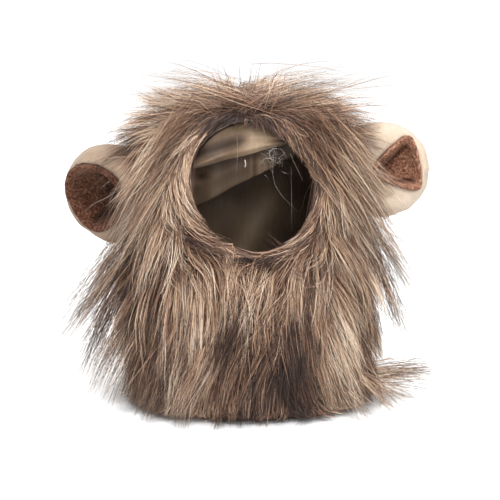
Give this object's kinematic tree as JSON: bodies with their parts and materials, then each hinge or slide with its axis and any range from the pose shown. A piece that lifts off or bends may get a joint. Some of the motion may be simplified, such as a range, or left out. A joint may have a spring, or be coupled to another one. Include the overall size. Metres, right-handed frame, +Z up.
{
  "type": "pet lion mane wig",
  "caption": "Long-pile faux fur hood with a face opening, a satin lining, two plush cup ears and a lapped hook-and-loop closure under the chin, for a small pet.",
  "frame": {"origin": "under the middle of the whole wig, on the surface that it stands on", "axes": "+Z up, -Y the way the face opening looks, +X towards the viewer's right"},
  "size_m": [0.237, 0.1586, 0.21],
  "materials": {
    "fur": "long-pile faux fur, red-brown underneath, taupe and pinkish beige at the tips, with sparse black guard hairs",
    "satin": "soft cream satin, slightly shiny",
    "binding": "pale grey-beige turned binding",
    "plush": "cream short plush, padded",
    "felt": "red-brown looped felt",
    "patch": "dark hook-and-loop tape"
  },
  "bodies": {
    "root": {"lining": "satin", "neck_hem": "binding", "face_hem": "binding", "mane_left": "fur", "mane_right": "fur", "chin_fastener": "patch", "ear_shell_left": "plush", "ear_pad_left": "felt", "ear_shell_right": "plush", "ear_pad_right": "felt"}
  },
  "joints": []
}
